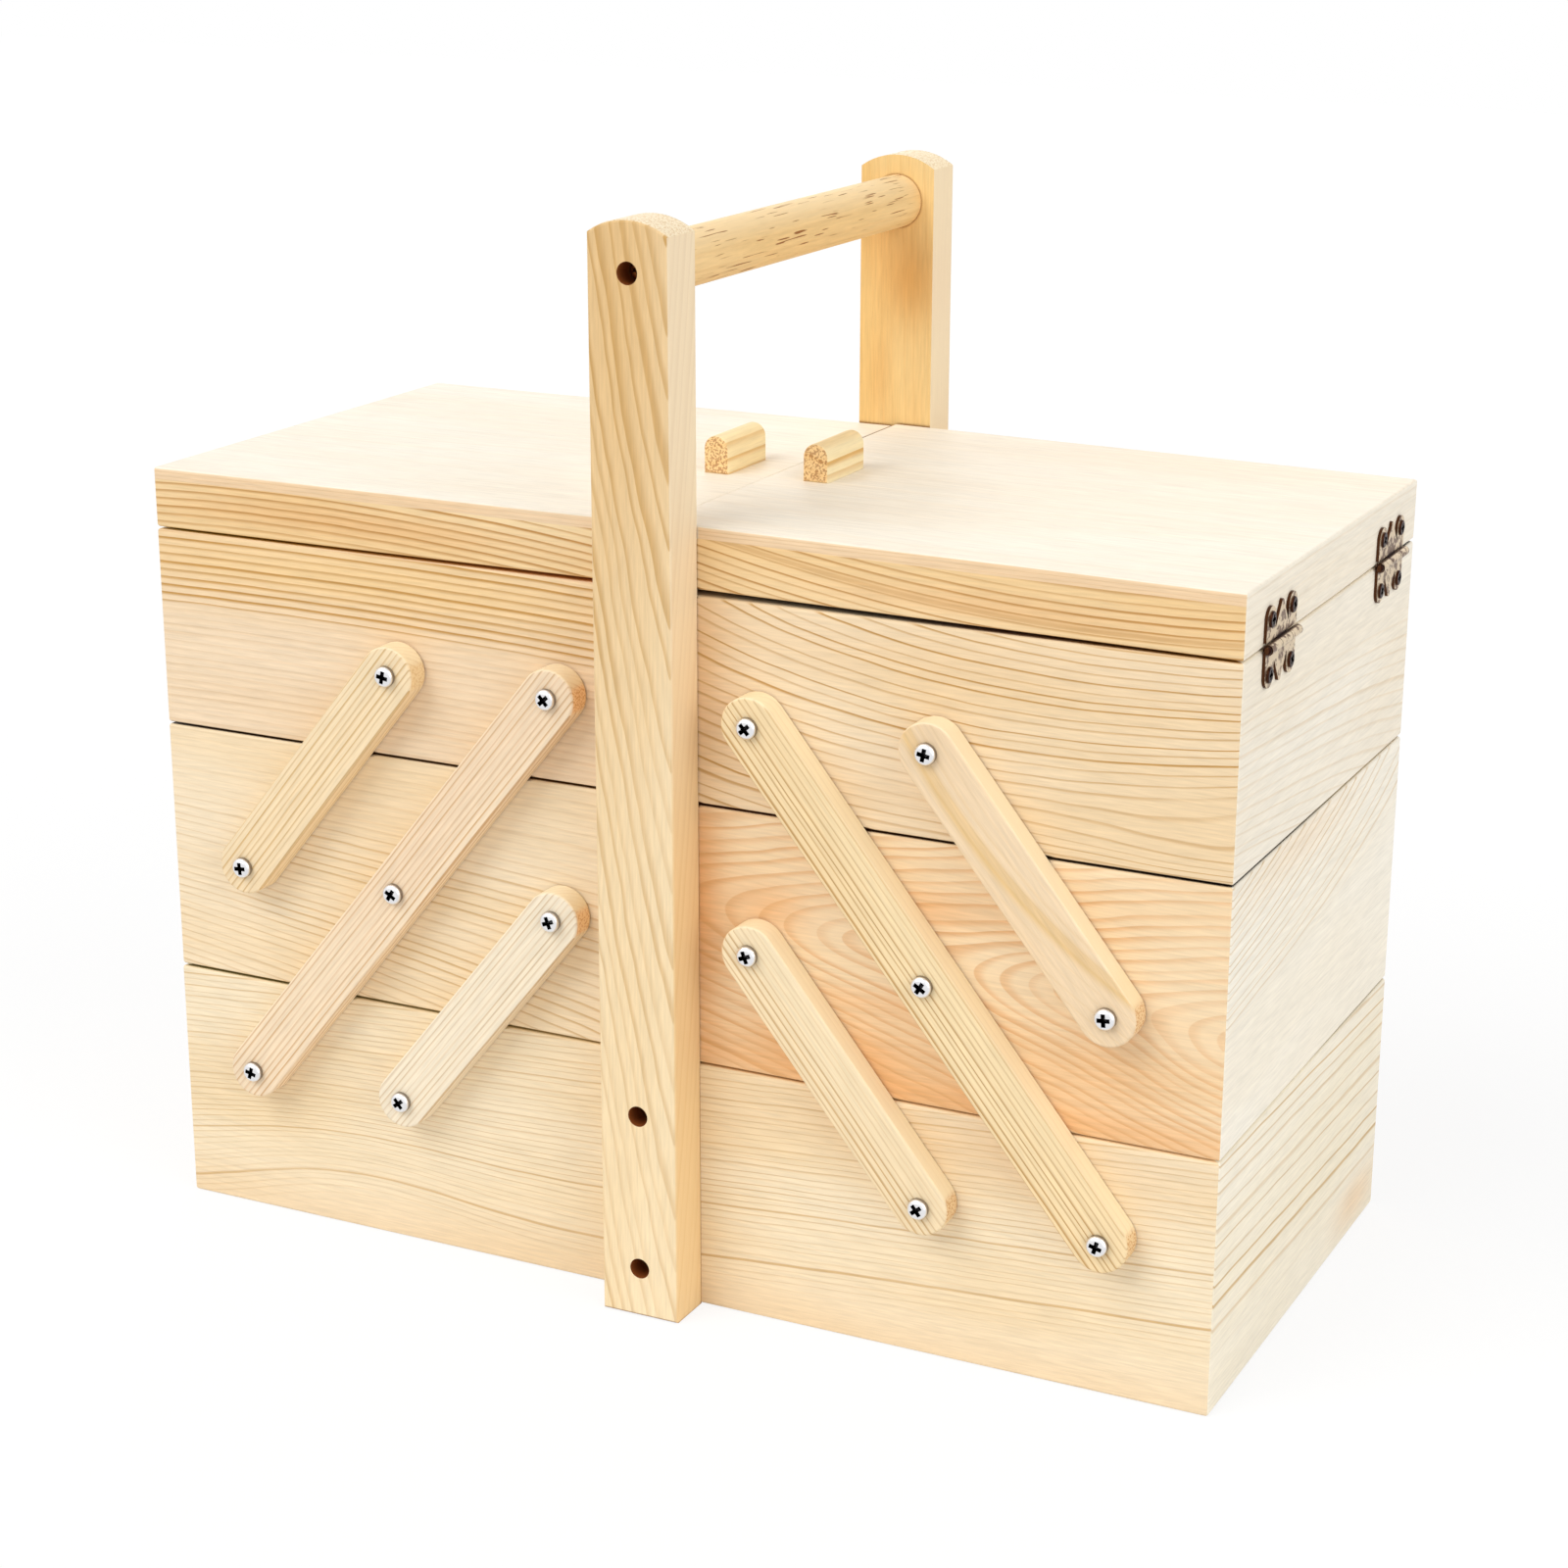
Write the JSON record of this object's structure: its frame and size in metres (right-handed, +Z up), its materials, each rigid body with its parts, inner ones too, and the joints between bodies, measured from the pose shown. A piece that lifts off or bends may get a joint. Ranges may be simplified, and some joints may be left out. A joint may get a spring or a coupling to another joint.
{
  "type": "sewing carrier with two lids",
  "caption": "Wooden sewing carrier with stacked trays that fold outwards on arms from a base box, hinged lids and a round carrying handle.",
  "frame": {"origin": "middle of the underside of the base box", "axes": "+X along the carrier's length, towards the right-hand trays; +Y from front to back; +Z up"},
  "size_m": [0.3864, 0.21, 0.3565],
  "materials": {
    "pine_boards": "smooth sanded pine with a clear matt finish",
    "pine_lids": "smooth sanded pine with a clear matt finish",
    "pine_posts": "smooth sanded pine with a clear matt finish",
    "pine_arms": "smooth sanded pine with a clear matt finish",
    "plywood_floors": "bare plywood",
    "dowel_wood": "turned pale hardwood with a clear matt finish",
    "lid_knobs": "sanded pine with end grain at both ends",
    "zinc_screws": "bright zinc plated",
    "bronze_hinges": "antique bronze plated"
  },
  "bodies": {
    "base": {"base_front_wall": "pine_boards", "base_back_wall": "pine_boards", "base_left_wall": "pine_boards", "base_right_wall": "pine_boards", "base_floor": "plywood_floors", "front_post": "pine_posts", "back_post": "pine_posts", "handle_dowel": "dowel_wood", "post_screws": "zinc_screws", "base_arm_screws": "zinc_screws"},
    "right_middle_tray": {"right_middle_tray_front_wall": "pine_boards", "right_middle_tray_back_wall": "pine_boards", "right_middle_tray_inner_wall": "pine_boards", "right_middle_tray_outer_wall": "pine_boards", "right_middle_tray_floor": "plywood_floors", "right_middle_tray_arm_screws": "zinc_screws"},
    "right_top_tray": {"right_top_tray_front_wall": "pine_boards", "right_top_tray_back_wall": "pine_boards", "right_top_tray_inner_wall": "pine_boards", "right_top_tray_outer_wall": "pine_boards", "right_top_tray_floor": "plywood_floors", "right_top_tray_arm_screws": "zinc_screws", "right_hinge_tray_leaves": "bronze_hinges", "right_hinge_pins_and_tray_screws": "bronze_hinges"},
    "right_lid": {"right_lid_frame": "pine_lids", "right_lid_panel": "pine_lids", "right_lid_knob": "lid_knobs", "right_hinge_lid_leaves": "bronze_hinges", "right_hinge_lid_screws": "bronze_hinges"},
    "right_long_arms": {"right_long_arm_front": "pine_arms", "right_long_arm_back": "pine_arms"},
    "right_lower_arms": {"right_lower_arm_front": "pine_arms", "right_lower_arm_back": "pine_arms"},
    "right_upper_arms": {"right_upper_arm_front": "pine_arms", "right_upper_arm_back": "pine_arms"},
    "left_middle_tray": {"left_middle_tray_front_wall": "pine_boards", "left_middle_tray_back_wall": "pine_boards", "left_middle_tray_inner_wall": "pine_boards", "left_middle_tray_outer_wall": "pine_boards", "left_middle_tray_floor": "plywood_floors", "left_middle_tray_arm_screws": "zinc_screws"},
    "left_top_tray": {"left_top_tray_front_wall": "pine_boards", "left_top_tray_back_wall": "pine_boards", "left_top_tray_inner_wall": "pine_boards", "left_top_tray_outer_wall": "pine_boards", "left_top_tray_floor": "plywood_floors", "left_top_tray_arm_screws": "zinc_screws", "left_hinge_tray_leaves": "bronze_hinges", "left_hinge_pins_and_tray_screws": "bronze_hinges"},
    "left_lid": {"left_lid_frame": "pine_lids", "left_lid_panel": "pine_lids", "left_lid_knob": "lid_knobs", "left_hinge_lid_leaves": "bronze_hinges", "left_hinge_lid_screws": "bronze_hinges"},
    "left_long_arms": {"left_long_arm_front": "pine_arms", "left_long_arm_back": "pine_arms"},
    "left_lower_arms": {"left_lower_arm_front": "pine_arms", "left_lower_arm_back": "pine_arms"},
    "left_upper_arms": {"left_upper_arm_front": "pine_arms", "left_upper_arm_back": "pine_arms"}
  },
  "joints": [
    {"name": "right_fold", "type": "hinge", "parent": "base", "child": "right_long_arms", "pos_m": [0.1553, 0, 0.0549], "axis": [0, 1, 0], "range_deg": [0, 77.75]},
    {"name": "right_middle_swing", "type": "hinge", "parent": "right_long_arms", "child": "right_middle_tray", "pos_m": [0.0954, 0, 0.1292], "axis": [0, -1, 0], "range_deg": [0, 77.75]},
    {"name": "right_top_swing", "type": "hinge", "parent": "right_long_arms", "child": "right_top_tray", "pos_m": [0.0355, 0, 0.2035], "axis": [0, -1, 0], "range_deg": [0, 77.75]},
    {"name": "right_lower_swing", "type": "hinge", "parent": "base", "child": "right_lower_arms", "pos_m": [0.0954, 0, 0.0549], "axis": [0, 1, 0], "range_deg": [0, 77.75]},
    {"name": "right_upper_swing", "type": "hinge", "parent": "right_middle_tray", "child": "right_upper_arms", "pos_m": [0.1553, 0, 0.1292], "axis": [0, 1, 0], "range_deg": [0, 77.75]},
    {"name": "right_lid_hinge", "type": "hinge", "parent": "right_top_tray", "child": "right_lid", "pos_m": [0.1916, 0, 0.24085], "axis": [0, 1, 0], "range_deg": [0, 175]},
    {"name": "left_fold", "type": "hinge", "parent": "base", "child": "left_long_arms", "pos_m": [-0.1553, 0, 0.0549], "axis": [0, -1, 0], "range_deg": [0, 77.75]},
    {"name": "left_middle_swing", "type": "hinge", "parent": "left_long_arms", "child": "left_middle_tray", "pos_m": [-0.0954, 0, 0.1292], "axis": [0, 1, 0], "range_deg": [0, 77.75]},
    {"name": "left_top_swing", "type": "hinge", "parent": "left_long_arms", "child": "left_top_tray", "pos_m": [-0.0355, 0, 0.2035], "axis": [0, 1, 0], "range_deg": [0, 77.75]},
    {"name": "left_lower_swing", "type": "hinge", "parent": "base", "child": "left_lower_arms", "pos_m": [-0.0954, 0, 0.0549], "axis": [0, -1, 0], "range_deg": [0, 77.75]},
    {"name": "left_upper_swing", "type": "hinge", "parent": "left_middle_tray", "child": "left_upper_arms", "pos_m": [-0.1553, 0, 0.1292], "axis": [0, -1, 0], "range_deg": [0, 77.75]},
    {"name": "left_lid_hinge", "type": "hinge", "parent": "left_top_tray", "child": "left_lid", "pos_m": [-0.1916, 0, 0.24085], "axis": [0, -1, 0], "range_deg": [0, 175]}
  ],
  "couplings": [
    {"joint": "right_middle_swing", "follows": "right_fold", "ratio": 1},
    {"joint": "right_top_swing", "follows": "right_fold", "ratio": 1},
    {"joint": "right_lower_swing", "follows": "right_fold", "ratio": 1},
    {"joint": "right_upper_swing", "follows": "right_fold", "ratio": 1},
    {"joint": "left_middle_swing", "follows": "left_fold", "ratio": 1},
    {"joint": "left_top_swing", "follows": "left_fold", "ratio": 1},
    {"joint": "left_lower_swing", "follows": "left_fold", "ratio": 1},
    {"joint": "left_upper_swing", "follows": "left_fold", "ratio": 1}
  ]
}
